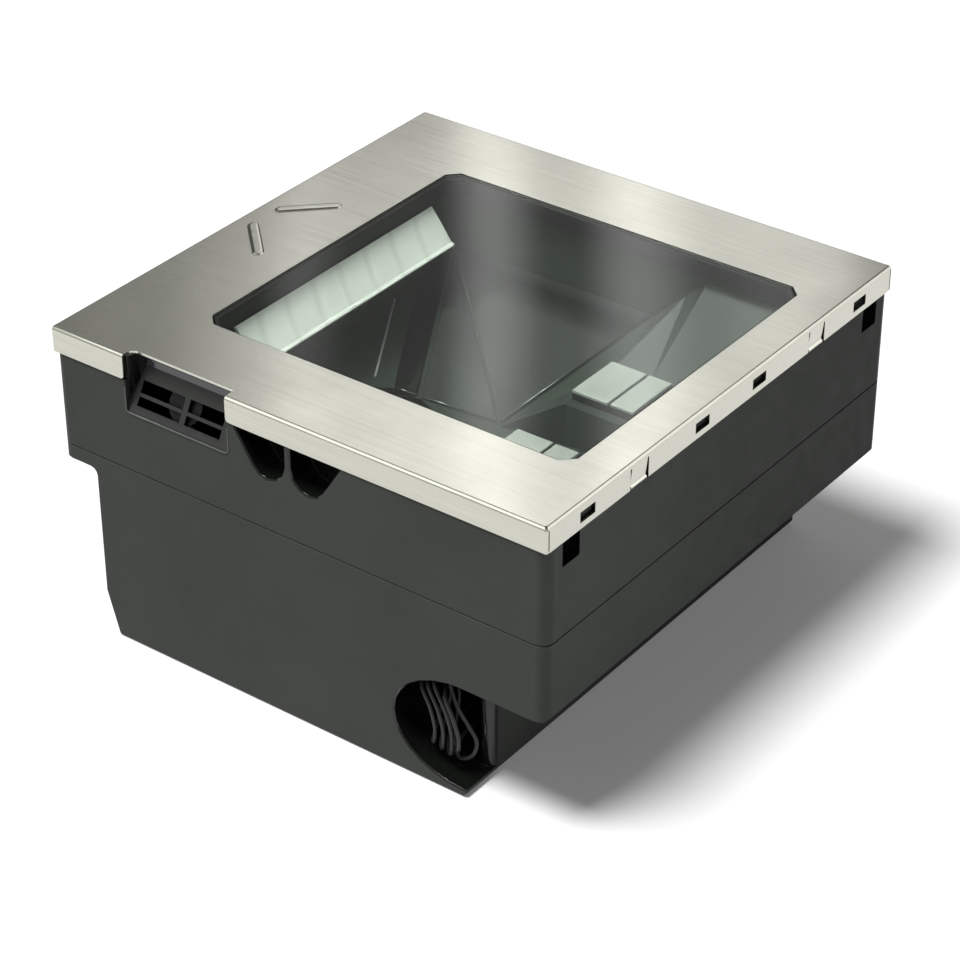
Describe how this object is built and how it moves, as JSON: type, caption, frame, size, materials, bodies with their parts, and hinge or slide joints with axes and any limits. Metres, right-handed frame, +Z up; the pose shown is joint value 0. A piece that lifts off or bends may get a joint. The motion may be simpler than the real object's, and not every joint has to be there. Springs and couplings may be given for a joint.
{
  "type": "in-counter barcode scanner",
  "caption": "Square in-counter presentation scanner: folded steel cover with a flush glass window over a dark two-part housing with fold mirrors, camera and cable alcove.",
  "frame": {"origin": "under the centre of the steel plate, on the surface that the feet stand on", "axes": "+X to the right seen from the front, where the recess and the alcove are, +Y to the back, +Z up"},
  "size_m": [0.292, 0.292, 0.1698],
  "materials": {
    "steel": "brushed, grain from left to right",
    "glass": "polished, flush",
    "rubber": "matt",
    "frame": "fine texture",
    "housing": "fine spark-eroded texture",
    "chassis": "fine texture",
    "mirror": "front-silvered glass",
    "diffuser": "milky, frosted",
    "board": "solder mask",
    "alloy": "turned or extruded, anodised",
    "lens": "smoked, polished",
    "cable": "satin jacket",
    "screw": "zinc plated"
  },
  "bodies": {
    "root": {"top_cover": "steel", "window_glass": "glass", "window_gasket": "rubber", "foot_1": "rubber", "foot_2": "rubber", "foot_3": "rubber", "foot_4": "rubber", "interface_plug": "rubber", "power_plug": "rubber", "interface_grommet": "rubber", "power_grommet": "rubber", "window_frame": "frame", "left_bar_holder": "frame", "rear_module_holder": "frame", "front_module_holder": "frame", "camera_mount": "frame", "speaker": "frame", "interface_jack": "frame", "power_jack": "frame", "upper_housing": "housing", "lower_housing": "housing", "optical_chassis": "chassis", "rear_fold_mirror": "mirror", "front_fold_mirror": "mirror", "rear_side_mirror": "mirror", "front_side_mirror": "mirror", "rear_strip_mirror": "mirror", "front_strip_mirror": "mirror", "left_diffuser": "diffuser", "rear_wide_diffuser": "diffuser", "rear_narrow_diffuser": "diffuser", "front_wide_diffuser": "diffuser", "front_narrow_diffuser": "diffuser", "left_bar_board": "board", "rear_module_board": "board", "front_module_board": "board", "camera_board": "board", "indicator_board": "board", "main_board": "board", "camera_barrel": "alloy", "heat_sink": "alloy", "camera_lens": "lens", "indicator_lens": "lens", "interface_cable": "cable", "power_cable": "cable", "housing_screw_1": "screw", "housing_screw_2": "screw", "housing_screw_3": "screw", "housing_screw_4": "screw", "chassis_screw_1": "screw", "chassis_screw_2": "screw", "chassis_screw_3": "screw", "chassis_screw_4": "screw"}
  },
  "joints": []
}
